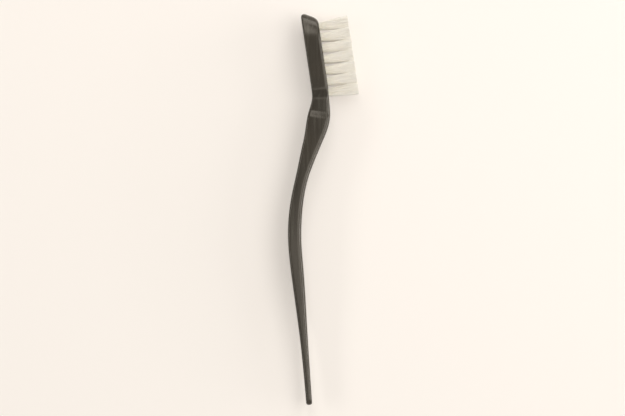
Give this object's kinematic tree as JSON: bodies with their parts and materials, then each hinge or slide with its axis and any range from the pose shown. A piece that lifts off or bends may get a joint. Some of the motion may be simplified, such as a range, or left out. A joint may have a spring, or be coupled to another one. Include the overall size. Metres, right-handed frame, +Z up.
{
  "type": "cleaning brush",
  "caption": "Slim S-curved brush for cleaning juicer parts: moulded plastic handle with a leaning head of anchored nylon tufts and a thin rounded tail.",
  "frame": {"origin": "centre of the bounding box in plan, on the plane that the brush lies on", "axes": "The brush lies on its side. +Y runs along the brush to the head's tip, +X along the bristles to their trimmed ends, +Z up across the head."},
  "size_m": [0.0324, 0.18, 0.015],
  "materials": {
    "handle_plastic": "semi-gloss moulded polypropylene",
    "bristle_nylon": "natural translucent filament",
    "anchor_metal": "flat drawn wire, cut to length"
  },
  "bodies": {
    "root": {"handle": "handle_plastic", "tuft_1_1": "bristle_nylon", "tuft_1_2": "bristle_nylon", "tuft_2_1": "bristle_nylon", "tuft_2_2": "bristle_nylon", "tuft_2_3": "bristle_nylon", "tuft_3_1": "bristle_nylon", "tuft_3_2": "bristle_nylon", "tuft_3_3": "bristle_nylon", "tuft_4_1": "bristle_nylon", "tuft_4_2": "bristle_nylon", "tuft_4_3": "bristle_nylon", "tuft_5_1": "bristle_nylon", "tuft_5_2": "bristle_nylon", "tuft_5_3": "bristle_nylon", "tuft_6_1": "bristle_nylon", "tuft_6_2": "bristle_nylon", "tuft_6_3": "bristle_nylon", "tuft_7_1": "bristle_nylon", "tuft_7_2": "bristle_nylon", "anchor_1_1": "anchor_metal", "anchor_1_2": "anchor_metal", "anchor_2_1": "anchor_metal", "anchor_2_2": "anchor_metal", "anchor_2_3": "anchor_metal", "anchor_3_1": "anchor_metal", "anchor_3_2": "anchor_metal", "anchor_3_3": "anchor_metal", "anchor_4_1": "anchor_metal", "anchor_4_2": "anchor_metal", "anchor_4_3": "anchor_metal", "anchor_5_1": "anchor_metal", "anchor_5_2": "anchor_metal", "anchor_5_3": "anchor_metal", "anchor_6_1": "anchor_metal", "anchor_6_2": "anchor_metal", "anchor_6_3": "anchor_metal", "anchor_7_1": "anchor_metal", "anchor_7_2": "anchor_metal"}
  },
  "joints": []
}
